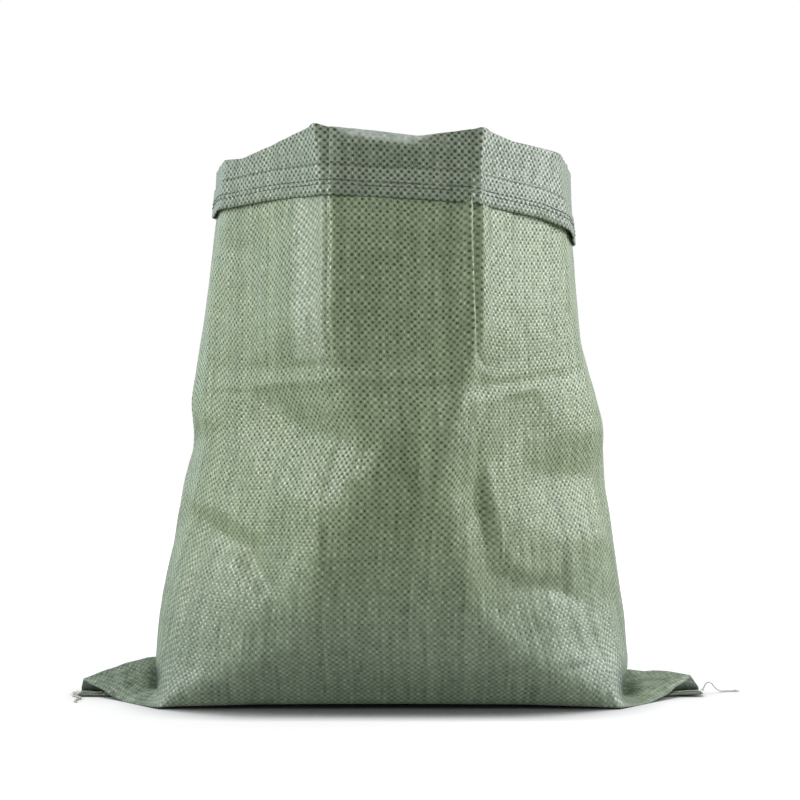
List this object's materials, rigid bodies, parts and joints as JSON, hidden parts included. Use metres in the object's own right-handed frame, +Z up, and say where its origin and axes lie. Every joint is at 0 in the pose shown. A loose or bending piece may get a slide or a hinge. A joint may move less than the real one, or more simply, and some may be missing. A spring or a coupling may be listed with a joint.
{
  "type": "woven sack",
  "caption": "Empty woven tape sack standing open, with its mouth turned down as a cuff and a pointed ear at each side of its sewn foot.",
  "frame": {"origin": "on the floor under the middle of the standing sack", "axes": "+X along the sewn foot from the left ear's tip to the right ear's tip, -Y towards the front, +Z up out of the mouth"},
  "size_m": [0.5364, 0.3394, 0.4242],
  "materials": {
    "woven_tape": "satin, woven from flat green plastic tape",
    "hem_thread": "green sewing yarn",
    "seam_thread": "matt cream sewing yarn"
  },
  "bodies": {
    "root": {"woven_sack": "woven_tape", "mouth_hem_thread_lower": "hem_thread", "mouth_hem_thread_upper": "hem_thread", "bottom_seam_thread": "seam_thread", "seam_thread_tail_left": "seam_thread", "seam_thread_tail_right": "seam_thread"}
  },
  "joints": []
}
